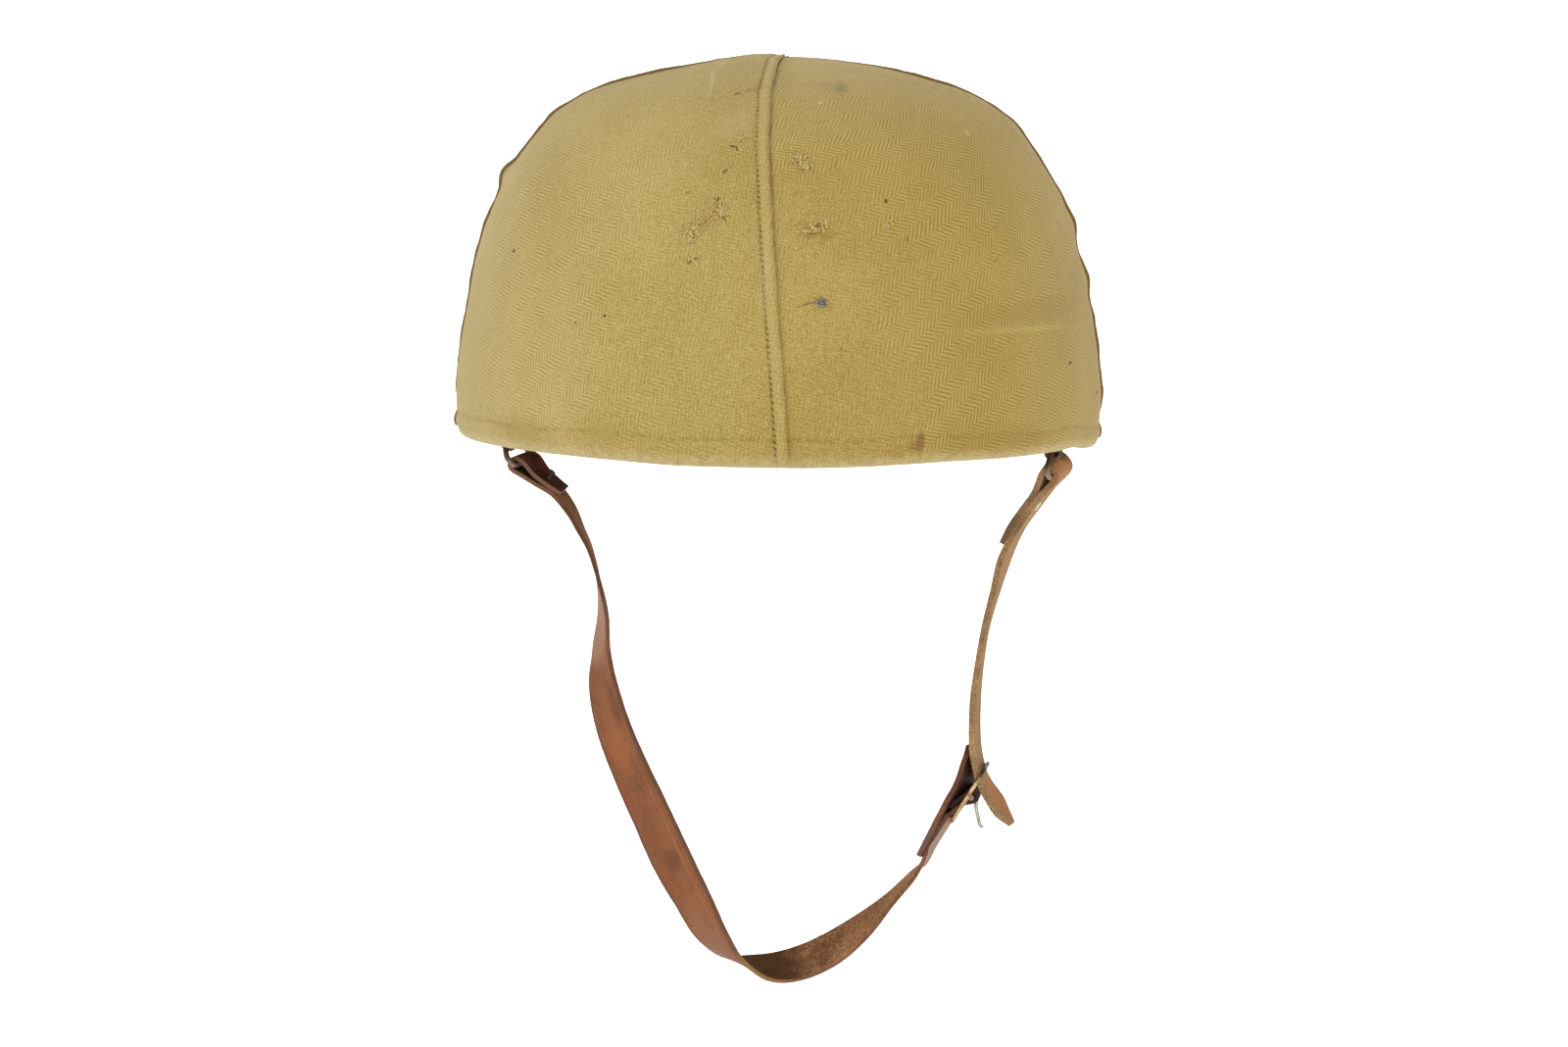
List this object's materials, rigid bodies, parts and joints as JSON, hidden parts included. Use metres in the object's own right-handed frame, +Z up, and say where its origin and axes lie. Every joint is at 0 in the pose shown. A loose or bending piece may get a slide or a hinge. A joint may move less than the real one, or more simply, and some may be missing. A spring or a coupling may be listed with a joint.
{
  "type": "riding helmet",
  "caption": "Domed riding helmet with a sewn herringbone cloth cover and a twisted leather chin strap that closes in a small buckle.",
  "frame": {"origin": "the top of the hollow, where the crown of a head sits", "axes": "+Z up, -Y to the front of the helmet, +X to the side where the buckle hangs"},
  "size_m": [0.2457, 0.2863, 0.349],
  "materials": {
    "shell": "matt pressed fibre",
    "cloth": "khaki herringbone twill, worn",
    "brown_leather": "satin grain side, rough flesh side",
    "tan_leather": "dry and matt, bare cut edges",
    "dark_metal": "dull, darkened with age",
    "buckle_brass": "tarnished",
    "prong_steel": "bright worn wire"
  },
  "bodies": {
    "helmet": {"shell": "shell", "cover_front_left": "cloth", "cover_front_right": "cloth", "cover_rear_left": "cloth", "cover_rear_right": "cloth", "lug_left": "dark_metal", "bail_left": "dark_metal", "lug_right": "dark_metal", "bail_right": "dark_metal", "strap_long": "brown_leather", "strap_short": "tan_leather", "stud_left": "dark_metal", "buckle_frame": "buckle_brass", "buckle_backing": "brown_leather"},
    "prong": {"buckle_prong": "prong_steel"}
  },
  "joints": [
    {"name": "prong_swing", "type": "hinge", "parent": "helmet", "child": "prong", "pos_m": [0.077, 0, -0.2677], "axis": [0.1219, 0.9925, 0], "range_deg": [-32, 33]}
  ]
}
